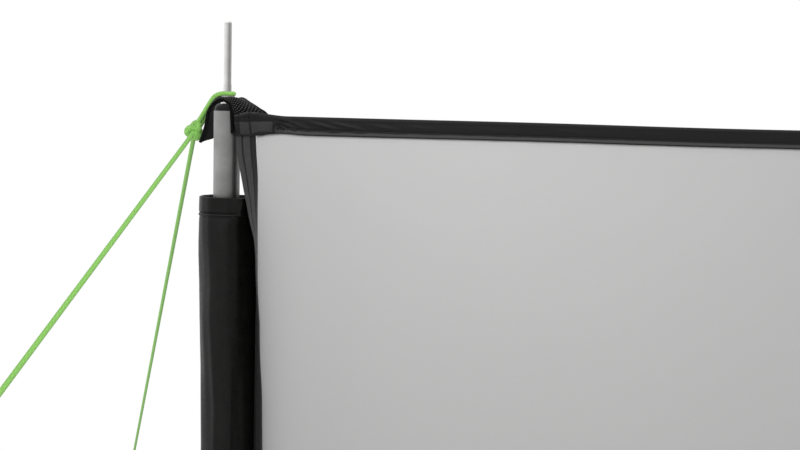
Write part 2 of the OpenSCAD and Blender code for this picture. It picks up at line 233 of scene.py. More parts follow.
def panel_cloth():
    m = Shader("panel_cloth", Sheen_Weight=0.06, Sheen_Roughness=0.5, Specular_IOR_Level=0.25)
    weave = plain_weave(m, 0.62)
    slub = m.noise(700.0, 2.0, (1.0, 1.0, 0.2))
    drift = m.noise(2.2, 3.0)
    tone = m.math("MULTIPLY_ADD", slub, 0.08, m.math("MULTIPLY", drift, 0.6))
    colour = m.mix(m.between(tone, 0.15, 0.55), grey(0.545), (0.575, 0.575, 0.574, 1))
    rough = m.math("MULTIPLY_ADD", weave, 0.12, 0.68)
    return m.finish(Base_Color=colour, Roughness=rough, Normal=m.bump(weave, 0.00006, 0.3))


def tape_cloth(name, rows, shade, seams=()):
    """Ribbed tape with stitches along it, at the given distances across, and seams square to it.

    shade(m, across, along) gives the share of the lighter of the tape's two greys. It paints light and
    shade: on the hem the light grey is painted light on the tape's black, and on the side tape the dark
    grey is painted shade on its grey.
    """
    m = Shader(name, Sheen_Weight=0.05, Sheen_Roughness=0.4, Specular_IOR_Level=0.3)
    across, along = m.uv()
    warp = m.math("MULTIPLY_ADD", m.wave(across, 0.9), 0.4, 0.6)
    ribs = m.math("MULTIPLY", m.wave(along, 0.8), warp)
    thread, groove = stitches(m, along, across, rows, 0.5)
    if seams:
        seam_thread, seam_groove = stitches(m, across, along, seams, 0.45)
        thread = m.math("MAXIMUM", thread, seam_thread)
        groove = m.math("MAXIMUM", groove, seam_groove)
    fuzz = m.noise(700.0, 4.0)
    tone = m.math("MULTIPLY_ADD", ribs, 0.3, m.math("MULTIPLY", fuzz, 0.5))
    # share of the light grey, where light and shade are painted; the two greys are lit and shaded copies of
    # the tape's colour
    light = shade(m, across, along)
    dark_grey_and_painted_shade = m.mix(m.between(tone, 0.15, 0.65), grey(0.006), grey(0.011))
    light_grey_and_painted_light = m.mix(m.between(tone, 0.15, 0.65), grey(0.037), grey(0.062))
    colour = m.mix(light, dark_grey_and_painted_shade, light_grey_and_painted_light)
    # painted shade: the stitches' and seams' grooves are darker
    colour = m.mix(groove, colour, grey(0.003))
    colour = m.mix(m.math("MULTIPLY", thread, 0.6), colour, grey(0.014))
    rough = m.math("MULTIPLY_ADD", fuzz, 0.2, m.math("MULTIPLY_ADD", light, 0.15, 0.3))
    relief = m.math("MULTIPLY_ADD", thread, 1.4, m.math("MULTIPLY", ribs, 0.16))
    height = m.math("MULTIPLY_ADD", groove, -1.8, relief)
    return m.finish(Base_Color=colour, Roughness=rough, Normal=m.bump(height, 0.0003, 0.6))


def hem_shade(m, tone, near):
    """The hem's coordinates are its tone, which is light above 0, and the distance from the nearer pole.
    The light grey is painted light, and it is weaker near the corner, as painted shade.
    """
    past_corner = m.between(near, 30.0, 46.0, 0.48, 1.0)
    return m.math("MULTIPLY", m.between(tone, 0.3, 0.9), past_corner)


def side_shade(m, across, along):
    """Painted shade: the side tape is darker at its sewn edge, and lower down."""
    inward = m.between(across, 3.2, 5.4, 0.25, 1.0)
    upward = m.between(along, -150.0, -80.0, 0.65, 1.0)
    return m.math("MULTIPLY", inward, upward)


def sleeve_cloth():
    m = Shader("sleeve_cloth", Specular_IOR_Level=0.28)
    around, down = m.uv()
    weave = plain_weave(m, 0.7)
    length = TOP - MOUTH_DROP - MOUTH_LIFT
    rows = [*SLEEVE_ROWS, *(length - row for row in SLEEVE_ROWS)]
    thread, groove = stitches(m, around, down, rows, 0.38)
    crush = m.noise(150.0, 5.0)
    colour = m.mix(m.between(crush, 0.3, 0.7), (0.002, 0.002, 0.0018, 1), (0.0036, 0.0035, 0.0032, 1))
    # painted shade: the stitches' grooves are darker
    colour = m.mix(groove, colour, grey(0.003))
    colour = m.mix(m.math("MULTIPLY", thread, 0.5), colour, grey(0.012))
    rough = m.math("MULTIPLY_ADD", crush, 0.16, 0.22)
    relief = m.math("MULTIPLY_ADD", thread, 1.6, m.math("MULTIPLY", weave, 0.1))
    fine = m.bump(m.math("MULTIPLY_ADD", groove, -2.6, relief), 0.0004, 0.7)
    return m.finish(Base_Color=colour, Roughness=rough, Normal=m.bump(crush, 0.0006, 0.25, fine))


def webbing():
    """Coarse diagonal weave between two plain selvedges. The weave's crowns take a lighter grey, a painted
    highlight.
    """
    m = Shader("webbing", Specular_IOR_Level=0.1, Roughness=0.65)
    across, along = m.uv()
    wide = m.math("MULTIPLY", across, 0.7)
    a = m.wave(m.math("MULTIPLY_ADD", along, 0.75, wide), 1.9)
    b = m.wave(m.math("MULTIPLY_ADD", along, -0.75, wide), 1.9)
    crown = m.math("MULTIPLY", a, b)
    fray = m.noise(1500.0, 3.0)
    # painted highlight: the weave's crowns are lighter
    lit = m.math("MULTIPLY", m.between(crown, 0.35, 0.8), m.math("MULTIPLY_ADD", fray, 0.9, 0.3))
    start = m.between(across, 2.2, 2.9)
    end = m.between(across, STRAP_W - 2.2, STRAP_W - 2.9)
    inner = m.math("MINIMUM", start, end)
    colour = m.mix(m.math("MULTIPLY", lit, inner), grey(0.0028), grey(0.13))
    height = m.math("MULTIPLY", crown, inner)
    return m.finish(Base_Color=colour, Normal=m.bump(height, 0.0004, 0.8))


def guy_line():
    m = Shader("guy_line", Sheen_Weight=0.2, Sheen_Roughness=0.5, Roughness=0.75, Specular_IOR_Level=0.2)
    turn, along = m.uv()
    strands = m.math("MULTIPLY", turn, 5.0)
    a = m.wave(m.math("MULTIPLY_ADD", along, 0.27, strands), 1.0)
    b = m.wave(m.math("MULTIPLY_ADD", along, -0.27, strands), 1.0)
    fuzz = m.noise(2400.0, 4.0)
    # the lighter green stands for light on the braid's crossings, a painted highlight, and the fuzz varies
    # the tone at random
    crossing = m.math("MULTIPLY", a, b)
    lit = m.math("MULTIPLY_ADD", fuzz, 0.5, m.math("MULTIPLY", crossing, 0.5))
    colour = m.mix(m.between(lit, 0.05, 0.7), (0.235, 0.56, 0.108, 1), (0.34, 0.67, 0.172, 1))
    return m.finish(Base_Color=colour, Normal=m.bump(lit, 0.0003, 0.45))


# Meshes

def ramp(value, start, over):
    """0 up to start, then straight up to 1 over a distance."""
    return np.clip((value - start) / over, 0, 1)


def ease(t):
    t = np.clip(t, 0.0, 1.0)
    return t * t * (3 - 2 * t)


def hump(x, middle, width):
    return np.exp(-(((x - middle) / width) ** 2))


def unit(v):
    return v / np.linalg.norm(v, axis=-1, keepdims=True)


def lengths(points):
    steps = np.linalg.norm(np.diff(points, axis=0), axis=1)
    return np.concatenate([[0.0], np.cumsum(steps)])


def curve_through(guide, count):
    """Smooth rows of points through guide rows, count steps between each pair."""
    g = np.asarray(guide, float)
    last = len(g) - 1
    rows = []
    for step in range(last * count + 1):
        t = step / count
        k = min(int(t), last - 1)
        s = t - k
        a, b, c, d = g[max(k - 1, 0)], g[k], g[k + 1], g[min(k + 2, last)]
        rows.append(b + s / 2 * (c - a + s * (2 * a - 5 * b + 4 * c - d + s * (3 * b - a - 3 * c + d))))
    return np.array(rows)


def grid_faces(rows, cols, start=0, flip=False):
    i, j = np.meshgrid(np.arange(rows - 1), np.arange(cols - 1), indexing="ij")
    a = (start + i * cols + j).ravel()
    quads = np.stack([a, a + 1, a + cols + 1, a + cols], axis=1)
    return quads[:, ::-1] if flip else quads


def grid_normals(g):
    n = np.cross(np.gradient(g, axis=0), np.gradient(g, axis=1))
    return n / np.maximum(np.linalg.norm(n, axis=2, keepdims=True), 1e-9)


def grid_uv(across, along):
    """Surface coordinates of a grid, from a value for each column and one for each row."""
    return np.stack(np.broadcast_arrays(across[None, :], along[:, None]), axis=-1).reshape(-1, 2)


def at_pole(points, pole):
    """Points round a pole, moved to where that pole stands. The last pole is the first one mirrored."""
    p = np.array(points, float)
    if pole == POLES - 1:
        p[..., 0] *= -1
    p[..., 0] += pole * PITCH
    p[..., 2] += TOP
    return p


def add_piece(name, points, faces, uv, material, slot, nodes, flip=False, sharp=None):
    """Makes one piece from points in millimetres, riding on the frame and standing for CAD nodes.

    Straps and lines lie so close to the poles that they are kept out of the poles' gloss.
    """
    faces = np.asarray(faces)
    if flip:
        faces = faces[:, ::-1]
    mesh = bpy.data.meshes.new(name)
    mesh.from_pydata((np.asarray(points) * MM).tolist(), [], faces.tolist())
    layer = mesh.uv_layers.new(name="UVMap")
    layer.data.foreach_set("uv", np.asarray(uv, np.float32)[faces.ravel()].ravel())
    mesh.polygons.foreach_set("use_smooth", np.ones(len(mesh.polygons), bool))
    if sharp:
        mesh.set_sharp_from_angle(angle=math.radians(sharp))
    mesh.materials.append(material)
    piece = bpy.data.objects.new(name, mesh)
    scene.collection.objects.link(piece)
    piece.visible_glossy = slot not in ("webbing", "guy_line")
    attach(piece, "root")
    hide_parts(*nodes)
    return piece


def shell(mid, thickness):
    """Both faces and the rim of a sheet whose middle is a grid of points. Thickness may vary by column."""
    rows, cols = mid.shape[:2]
    half = np.broadcast_to(np.asarray(thickness, float) / 2, (rows, cols))[..., None] * grid_normals(mid)
    points = np.concatenate([(mid + half).reshape(-1, 3), (mid - half).reshape(-1, 3)])
    n = rows * cols
    ring = np.concatenate([
        np.arange(cols),
        np.arange(1, rows) * cols + cols - 1,
        (rows - 1) * cols + np.arange(cols - 2, -1, -1),
        np.arange(rows - 2, 0, -1) * cols,
    ])
    after = np.roll(ring, -1)
    rim = np.stack([ring, ring + n, after + n, after], axis=1)
    faces = np.concatenate([grid_faces(rows, cols), grid_faces(rows, cols, n, True), rim])
    return points, faces


def with_hole(faces, gone, rows, cols):
    """A shell's faces without the cells that are gone, and with a wall round the hole they leave."""
    n = rows * cols
    keep = np.concatenate([~gone.ravel(), ~gone.ravel(), np.ones(len(faces) - 2 * gone.size, bool)])
    walls = []
    for i, j in np.argwhere(gone):
        a = i * cols + j
        corners = [a, a + 1, a + cols + 1, a + cols]
        beside = [(i - 1, j), (i, j + 1), (i + 1, j), (i, j - 1)]
        for k in range(4):
            if not gone[beside[k]]:
                p, q = corners[k], corners[(k + 1) % 4]
                walls.append([p, q, q + n, p + n])
    return np.concatenate([faces[keep], np.array(walls)])


def tube(path, radius, sides, wobble=None):
    """Skin of a line along a path, with its turn and length as surface coordinates."""
    path = np.asarray(path, float)
    askew = [0.31, 0.2, 0.93]
    run = unit(np.gradient(path, axis=0))
    side = np.zeros_like(path)
    side[0] = unit(np.cross(run[0], askew))
    for k in range(1, len(path)):
        side[k] = unit(side[k - 1] - run[k] * np.dot(side[k - 1], run[k]))
    over = np.cross(run, side)
    turn = np.linspace(0, 2 * math.pi, sides + 1)
    v = lengths(path)
    r = np.full((len(path), sides + 1), float(radius))
    if wobble is not None:
        r = r * wobble(turn[None, :], v[:, None])
    ring = side[:, None] * np.cos(turn)[None, :, None] + over[:, None] * np.sin(turn)[None, :, None]
    points = path[:, None] + r[..., None] * ring
    faces = grid_faces(len(path), sides + 1, 0, True)
    return points.reshape(-1, 3), faces, grid_uv(turn / (2 * math.pi), v)


def joined(parts):
    """Several (points, faces, uv) as one."""
    points, faces, uvs, base = [], [], [], 0
    for p, f, uv in parts:
        points.append(p)
        faces.append(np.asarray(f) + base)
        uvs.append(uv)
        base += len(p)
    return np.concatenate(points), np.concatenate(faces), np.concatenate(uvs)


# Cloth panels

PANEL_CELLS = 150
PANEL_TUCK = 2.0
PANEL_GAP = 0.2
PANEL_BELLY = 5.0


def panel(bay, material):
    rng = np.random.default_rng(40 + bay)
    low, top = HEM_LIFT + PANEL_TUCK - TOP, -HEM_DROP - PANEL_TUCK
    left = BEND_X + PANEL_GAP
    # cells are a little smaller beside the poles and at the bottom
    s = np.linspace(0, 1, PANEL_CELLS + 1)
    s = 0.5 - 0.5 * np.sign(1 - 2 * s) * np.abs(1 - 2 * s) ** 0.85
    t = np.linspace(0, 1, PANEL_CELLS + 1) ** 0.85
    x = left + (PITCH - 2 * left) * s
    z = top + (low - top) * t
    X, Z = np.meshgrid(x, z)
    S, D = np.meshgrid(s, -z)
    y = PANEL_BELLY * np.sin(math.pi * S) * np.sin(math.pi * ramp(D, 2, -low))
    # wide, shallow waves away from the edges
    held = np.sin(math.pi * S) ** 0.5 * ramp(D, 14, 60) * ramp(-low - D, 12, 60)
    for _ in range(9):
        a, b = rng.uniform(0.6, 3.2, 2) * 2 * math.pi
        height = 2 * rng.uniform(0.15, 0.5) / (1 + 0.15 * a)
        y += held * height * np.sin(a * S + b * D / TOP + rng.uniform(0, 6.3))
    # creases that fan out from each corner
    for corner_x in (left, PITCH - left):
        for corner_z in (top - 12, low + 12):
            dx, dz = np.abs(X - corner_x), np.abs(Z - corner_z)
            turn = np.arctan2(dz, dx + 1)
            far = np.hypot(dx, dz)
            pull = np.exp(-far / 170) * ramp(far, 0, 30) * ramp(D, 15, 20) * ramp(dx, 0, 20)
            for _ in range(5):
                y += pull * rng.uniform(-0.6, 0.6) * hump(turn, rng.uniform(0.15, 1.4), 0.1)
    # puckers below the top hem's stitches
    pucker = np.exp(-np.maximum(D - 14, 0) / 12) * ramp(X, 60, 60) * ramp(PITCH - X, 60, 60)
    y += pucker * 0.22 * np.sin(X / 7.3 + 1.3 * np.sin(X / 31))
    X = X + (edge_x(Z) - BEND_X) * (np.exp(-(X - left) / 30) - np.exp(-(PITCH - left - X) / 30))
    points = np.stack([X + bay * PITCH, y, Z + TOP], axis=-1).reshape(-1, 3)
    uv = np.stack([X, Z], axis=-1).reshape(-1, 2)
    piece = add_piece(f"cloth_{bay + 1}", points, grid_faces(*X.shape), uv, material,
                      "panel_cloth", [f"panel_{bay + 1}"], flip=True)


# Folded tapes along the top and bottom edges

FOLD_R = 1.4
FOLD_HALF = 0.75
FOLD_RISE = 2.3
CORNER_END = 39.0
CREASE_DEPTH = 4.0
STITCH_UP = 3.7
# Shares of a leaf's depth, down the front and up the back, and heights of the front's turned-in end
FRONT_SHARES = np.concatenate([[0, 0.004, 0.015, 0.035], np.linspace(0.06, 1, 29)])
BACK_SHARES = np.linspace(1, 0, 11)[:-1] ** 1.3
TURNED_UP = np.array([0, 1.0, 5.0])
# Fan of creases past the corner: where it starts, its reach, and each crease's turn, width and height
FAN_X, FAN_UP, FAN_REACH = 31.0, 1.8, 24.0
FAN = [
    (1.35, 0.10, 0.9), (1.05, 0.09, 1.2), (0.77, 0.075, 1.35),
    (0.53, 0.065, 1.5), (0.34, 0.05, 1.3), (0.19, 0.04, -0.8),
]
# Long folds along the tape: start, depth there, length, slope and height
LONG_FOLDS = [
    (44, 3.6, 18, 0.34, 1.1), (60, 3.9, 21, 0.24, 1.45), (76, 4.0, 22, 0.2, 1.4), (106, 5.2, 18, 0.16, 0.8),
    (131, 5.0, 24, 0.13, 0.5), (180, 5.5, 30, 0.09, 0.45), (236, 4.6, 34, 0.1, 0.4),
]
# Tones of the tape's dark and light greys, the light one being painted light, and of the painted highlight
# along the corner's fold; and the ends of the dark crease between corner and fan, where shade is painted
DARK, LIGHT, RIM_LIGHT = -3.0, 1.5, 2.0
CREASE_START, CREASE_END = 32.8, 35.0


def hem_line(x):
    """Forward reach of the hem's middle line, which turns forward at both poles."""
    soft = 1.6
    near = np.minimum(x, PITCH - x)
    return -math.tan(CORNER_ANGLE) * soft * np.logaddexp(0, (BEND_X - near) / soft)


def hem_x():
    inner = BEND_X - CORNER_LEN * math.cos(CORNER_ANGLE)
    close = np.concatenate([
        np.linspace(inner, 44, 94)[:-1],
        np.linspace(44, 140, 90)[:-1],
        np.linspace(140, 300, 24)[:-1],
    ])
    middle = np.linspace(300, PITCH - 300, 50)
    return np.concatenate([close, middle, (PITCH - close)[::-1]])


def folded(h):
    """Offset of a folded tape's leaf from its middle, at depth h below the fold."""
    return FOLD_HALF * np.sqrt(ramp(h, 0, FOLD_R))


def hem_lines(near, rng):
    """Lines along a hem, by distance from a pole: its rise and sag, and depths on its front leaf."""
    line = SimpleNamespace()
    line.corner = ease((CORNER_END - near) / 7)
    line.lift = FOLD_RISE * np.where(near < 16, ease((near - 6.7) / 9.3), ease((44 - near) / 28))
    line.sag = 0.35 * np.sin(near / 53 + rng.uniform(0, 6)) * ramp(near, 90, 200)
    line.edge = HEM_DEPTH - 0.7 + 0.9 * ease((31 - near) / 6) - 0.9 * hump(near, 41, 10) + line.lift
    line.crease = CREASE_DEPTH + line.lift + 0.6 * hump(near, 12, 8)
    line.stitch = line.edge - STITCH_UP
    return line


def hem_front(near, strength, line):
    """Depths down the front leaf, how far forward it lies there, and how clearly the fan's creases show in
    their painted highlight.
    """
    h = FRONT_SHARES * line.edge
    puff = 1 - 0.85 * sum(hump(near, seam, 0.7) for seam in HEM_SEAMS)
    fold = folded(h) + 0.35 * hump(h, 0.5 * line.crease, 0.3 * line.crease) * puff
    low = np.clip((h - line.crease) / (line.edge - line.crease), 0, 1)
    at_corner = fold - 0.35 * hump(h, line.crease, 1.0) + 2.5 * low ** 1.15
    at_corner = at_corner + 0.5 * puff * np.sin(math.pi * low) - 0.7 * ease((low - 0.86) / 0.14)
    at_middle = fold + 0.4 * hump(h, 0.55 * line.stitch, 0.3 * line.stitch)
    at_middle = at_middle - 0.6 * hump(h, line.stitch, 0.7) + 1.2 * ease((h - line.stitch) / STITCH_UP)
    d = line.corner * at_corner + (1 - line.corner) * at_middle
    fan_r = np.hypot(near - FAN_X, h - line.crease + FAN_UP)
    fan_turn = np.arctan2(h - line.crease + FAN_UP, near - FAN_X)
    reach = ramp(fan_r, 1.5, 3) * hump(fan_r, 0, FAN_REACH)
    rim = ramp(h, 0, 2.5) * ramp(line.edge - h, 0, 2.5)
    stroke = np.zeros_like(h)
    for turn, width, height in FAN:
        d = d + strength * height * reach * rim * hump(fan_turn, turn, width)
        stroke = stroke + reach * rim * hump(fan_turn, turn, 0.55 * width)
    for start, depth, length, slope, height in LONG_FOLDS:
        ridge = hump(h, depth + slope * (near - start), 1.1)
        ridge = height * ridge * hump(near, start + 0.5 * length, 0.5 * length)
        d = d + strength * rim * ridge * ramp(line.stitch - h, 0, 1.2)
    d = d + rim * 0.12 * np.sin(near / 3.1 + 2 * np.sin(near / 17)) * ramp(h, 6, 6)
    return h, np.maximum(d, folded(h) - 0.1), stroke


def hem_tones(near, h, stroke, line):
    """Tones of the front leaf: above 0 for the light grey, which is painted light, and below for the dark
    one.
    """
    # painted light: below the stitch, and below the crease at the corner, the leaf faces up and takes the
    # light grey
    tone = h - (line.corner * line.crease + (1 - line.corner) * line.stitch)
    # painted shade: the underside keeps the dark grey
    under = 0.6 + 2.4 * hump(near, 25, 7)
    tone = np.where(h > line.edge - under, DARK, tone + 1.2 * line.corner * np.sign(tone))
    # so do the corner's end and the crease that parts it from the fan, as painted shade, and the fan's
    # creases take the light grey as a painted highlight
    in_fan = near > CREASE_END
    tone = np.where(in_fan & (stroke > 0.5) & (tone < 0), LIGHT, tone)
    painted_shade_part = ((near > CREASE_START) & ~in_fan) | (near < HEM_SEAMS[0] - 0.3)
    tone = np.where(painted_shade_part, np.minimum(tone, DARK), tone)
    # a painted highlight along the corner's fold
    return np.where((near < 21) & (h > 0.2) & (h < 1.0), RIM_LIGHT, tone)


def hem_surface(x, plan, rng):
    """Points across a hem for each place along it, and their tones, which set the painted light and shade.
    z is up from the fold's usual level.
    """
    near = np.minimum(x, PITCH - x)[:, None]
    strength = np.where(x < PITCH / 2, 1.0, rng.uniform(0.75, 1.1))[:, None]
    line = hem_lines(near, rng)
    h, d, stroke = hem_front(near, strength, line)
    back_h = BACK_SHARES * line.edge
    back_d = -folded(back_h) - 0.25 * np.sin(math.pi * BACK_SHARES)
    # the back leaf's turned-in end, the back leaf, the front leaf and its turned-in end
    leaves = zip(line.edge, h, d)
    inside = np.array([np.interp(edge - TURNED_UP, leaf_h, leaf_d) for edge, leaf_h, leaf_d in leaves])
    out = np.hstack([back_d[:, :1] + [0.5, 0.35], back_d, d, inside - [0.2, 0.5, 0.5]])
    z = np.hstack([[5, 0.3] - back_h[:, :1], -back_h, -h, [-0.12, 1.0, 5.0] - h[:, -1:]])
    along = unit(np.gradient(plan, axis=0))
    px, py = plan[:, :1], plan[:, 1:]
    grid = np.stack([px + out * along[:, 1:], py - out * along[:, :1], line.lift + line.sag + z], axis=-1)
    behind = np.tile([-30.0, -25.0], (len(x), 1))
    turned_up = np.full((len(x), len(TURNED_UP)), -6.0)
    tones = np.hstack([behind, -back_h - 6, hem_tones(near, h, stroke, line), turned_up])
    return grid, tones


def hem(bay, upper, material):
    rng = np.random.default_rng(70 + bay + (0 if upper else 9))
    x = hem_x()
    plan = np.stack([x, hem_line(x)], axis=1)
    grid, tones = hem_surface(x, plan, rng)
    near = np.minimum(x, PITCH - x)
    uv = np.stack(np.broadcast_arrays(tones, near[:, None]), axis=-1).reshape(-1, 2)
    points = grid + [bay * PITCH, 0, 0]
    if upper:
        points[..., 2] += TOP - HEM_DROP
    else:
        points[..., 2] = HEM_LIFT - points[..., 2]
    name, node = ("top_edge", "top_hem") if upper else ("bottom_edge", "bottom_hem")
    piece = add_piece(f"{name}_{bay + 1}", points.reshape(-1, 3), grid_faces(*grid.shape[:2]), uv, material,
                      "hem_tape", [f"{node}_{bay + 1}"], flip=not upper)


# Side tapes

# Turn of the tape, in degrees, at drops from the tube's top
TURN_DROP = [0, 17, 31, 45, 55, 64, 78, 91, 104, 121, 137, 154, 175, 201, 235, 300, 420, 560, 700]
TURN_ANGLE = [35, 35, 37, 50, 59, 68, 77, 89, 94, 98, 102, 106, 109, 113, 119, 117, 107, 112, 108]
# Shares of the tape's width, closest at its edges and stitches
TAPE_SHARES = np.array([
    0.0, 0.04, 0.12, 0.2, 0.26, 0.3, 0.34, 0.42, 0.5, 0.58, 0.66, 0.7, 0.74, 0.82, 0.9, 0.96, 1.0,
])
# Waves along the tape: height, and the length that turns them by a radian
TAPE_WAVES = ((0.25, 9.0), (0.2, 17.0), (0.3, 43.0))


def edge_x(z):
    """Place of the side tape's sewn edge, which the corner pulls in at top and bottom."""
    drop = np.minimum(-z, TOP + z - 6)
    return BEND_X - 1.5 * ease((52 - drop) / 36) + 0.5 * hump(drop, 110, 70)


def tape_turn(z):
    """Turn of the side tape, in radians, at a height from the tube's top."""
    drop = np.minimum(-z, TOP + z - 6)
    return np.radians(np.interp(drop, TURN_DROP, TURN_ANGLE))


def tape_rows():
    low, high = HEM_LIFT + HEM_DEPTH - 3 - TOP, -HEM_DROP - HEM_DEPTH + 3
    upper = np.concatenate([np.linspace(high, -150, 84)[:-1], np.linspace(-150, -320, 26)[:-1]])
    lower = np.concatenate([np.linspace(-320, low + 150, 90)[:-1], np.linspace(low + 150, low, 50)])
    return np.concatenate([upper, lower])


def side_tape(bay, right, material):
    rng = np.random.default_rng(120 + 2 * bay + right)
    z = tape_rows()
    turn = tape_turn(z)
    kernel = hump(np.arange(-4, 5), 0, 2.2)
    turn = np.convolve(np.pad(turn, 4, mode="edge"), kernel / kernel.sum(), mode="valid")
    across = TAPE_SHARES * TAPE_W
    wave = sum(a * np.sin(z / b + rng.uniform(0, 6.3)) for a, b in TAPE_WAVES)
    curl = 0.7 * ramp(across, 9, 7)[None, :] ** 2 * (0.6 + wave)[:, None]
    groove = -0.3 * sum(hump(across, row, 0.55) for row in TAPE_ROWS)
    puff = 0.3 * np.sin(math.pi * TAPE_SHARES)
    drift = 0.18 * wave[:, None] * ramp(across, 0, 6)[None, :]
    rise = groove[None, :] + puff[None, :] + curl + drift
    level = np.zeros_like(z)
    inward = np.stack([-np.cos(turn), -np.sin(turn), level], axis=1)
    out = np.stack([np.sin(turn), -np.cos(turn), level], axis=1)
    edge = np.stack([edge_x(z), level, z], axis=1)
    mid = edge[:, None] + across[None, :, None] * inward[:, None] + rise[..., None] * out[:, None]
    points, faces = shell(mid, TAPE_T * (1 - 0.55 * np.abs(2 * TAPE_SHARES - 1) ** 8))
    uv = grid_uv(across, z)
    if right:
        points[:, 0] = PITCH - points[:, 0]
    points[:, 0] += bay * PITCH
    points[:, 2] += TOP
    side = "right" if right else "left"
    piece = add_piece(f"side_tape_{bay + 1}_{side}", points, faces, np.concatenate([uv, uv]), material,
                      "side_tape", [f"side_tapes_{bay + 1}"], flip=bool(right), sharp=50)


# Sleeves round the poles

# An end pole's sleeve, at drops from the tube's top: its reach past the pole and its front crease
LEFT_DROP = [62, 68, 103, 123, 139, 176, 248, 420, 700]
LEFT_REACH = [18.0, 18.2, 19.3, 18.8, 18.5, 17.8, 17.2, 18.2, 17.8]
CREASE_DROP = [62, 90, 110, 125, 150, 185, 215, 300, 420, 560, 700]
CREASE_X = [-10.6, -10.2, -9.0, -8.2, -8.8, -6.6, -4.6, -6.0, -9.0, -7.0, -8.0]
# The ridge in front of the pole, the loose wall from the seam to it, and the right half of the back
RIDGE_DROP, RIDGE_X = [62, 120, 200], [4.2, 4.6, 5.8]
LOOSE_WALL = [[20.4, -3.8], [16.8, -7.5], [13.0, -11.4], [9.6, -14.9]]
BACK_WALL = [[6.0, 15.8], [14.5, 14.2], [19.0, 8.2]]
SLEEVE_SIDES = 104
SLEEVE_FOLDS = 46
# Rows through a mouth's stitched hem, and the depth and inset of the rows that turn in there
MOUTH_STEPS = np.array([0.0, 0.5, 2, 4, 6, 8, 9.6, 10.5, 11.3, 12.0, 12.65, 13.3, 14.0, 14.8, 15.4])
TURNED_IN = ((0.0, 0.25), (-0.2, 0.55), (1.5, 0.85), (13.0, 0.9))
# Waves round a sleeve: height, number, and the length of pole that turns them by a radian
SLEEVE_WAVES = ((0.45, 3, 130), (0.35, 5, -90), (0.18, 9, 37), (0.1, 14, -21))
# Short slanting folds along the front: share of the girth, z, width, length, lean and rise
FRONT_FOLDS = [
    (0.25, -87, 0.018, 15, -0.0021, 0.5), (0.25, -142, 0.016, 9, -0.0011, 0.32),
    (0.24, -164, 0.016, 7, -0.0039, 0.34), (0.24, -189, 0.016, 10, -0.0011, 0.3),
    (0.24, -208, 0.016, 6, -0.0057, 0.3),
]


def mirrored(points):
    """Points on the pole's other side, in the order that carries on round it."""
    return [[-p[0], p[1]] for p in points][::-1]


def sleeve_outline(z, at_end):
    """Guide points round a sleeve at one height, from its seam along the front to the back."""
    turn = float(tape_turn(z))
    drop = min(-z, TOP + z)
    slack = float(ease((drop - 72) / 14))
    hollow = 0.35 + 0.65 * float(ease((drop - 64) / 15))
    inward = np.array([-math.cos(turn), -math.sin(turn)])
    behind = np.array([-math.sin(turn), math.cos(turn)])
    seam = np.array([float(edge_x(z)), 0])
    tight = [seam + a * inward + 0.95 * behind for a in (5.0, 10.0, 15.0)]
    tight.append([tight[-1][0] - 2.6, min(tight[-1][1] - 1.2, -15.9)])
    wall = (1 - hollow) * np.array(tight) + hollow * np.array(LOOSE_WALL)
    y = -16.5 - 2.2 * slack
    x = float(np.interp(drop, RIDGE_DROP, RIDGE_X))
    front = [seam + [0.5, 0.75], *wall, [x + 1.2, y + 0.5], [x, y], [x - 1.4, y + 0.05]]
    right = [*BACK_WALL, [seam[0] + 0.1, 1.6]]
    if not at_end:
        return np.array([*front, *mirrored(front), *mirrored(right), *right])
    reach = float(np.interp(drop, LEFT_DROP, LEFT_REACH))
    crease = float(np.interp(drop, CREASE_DROP, CREASE_X))
    depth = -15.9 - 0.5 * slack
    end = min(depth + 1.2 * (reach + crease), -3.0)
    left = [
        [0.5 * (x + crease), 0.5 * (y + depth) - 0.2],
        [crease + 2.6, depth - 0.45],
        [crease + 0.2, depth + 0.3],
        [crease - 1.6, depth + 1.75],
        [0.5 * (crease - reach) - 0.9, 0.5 * (depth + end) + 0.1],
        [0.4 - reach, end - 0.1],
        [-reach, end + 2.4],
        [0.2 - reach, 3.4],
        [1.8 - reach, 7.6],
        [-12.5, 12.8],
        [-4.0, 15.4],
    ]
    return np.array([*front, *left, *right])


def round_outline(guide, count):
    """Evenly spaced points on a smooth closed curve through guide points, the first one repeated."""
    steps = 10
    wide = np.concatenate([guide[-2:], guide, guide[:3]])
    fine = curve_through(wide, steps)[2 * steps:(2 + len(guide)) * steps + 1]
    run = lengths(fine)
    want = np.linspace(0, run[-1], count + 1)
    return np.stack([np.interp(want, run, fine[:, k]) for k in (0, 1)], axis=1)


def slanting(fold, z, t):
    """Rise of one slanting fold at a height z and at shares t of the girth."""
    share, middle, width, length, lean, rise = fold
    return rise * hump(z, middle, length) * hump(t, share - lean * (z - middle), width)


def turned_in(row, up):
    """Rows of the hem that turns in at a mouth. up is 1 at the top and -1 at the bottom."""
    away = unit(row[:, :2] - row[:, :2].mean(axis=0))
    rows = []
    for depth, inset in TURNED_IN:
        ring = row.copy()
        ring[:, :2] -= inset * away
        ring[:, 2] -= up * depth
        rows.append(ring)
    return np.array(rows)


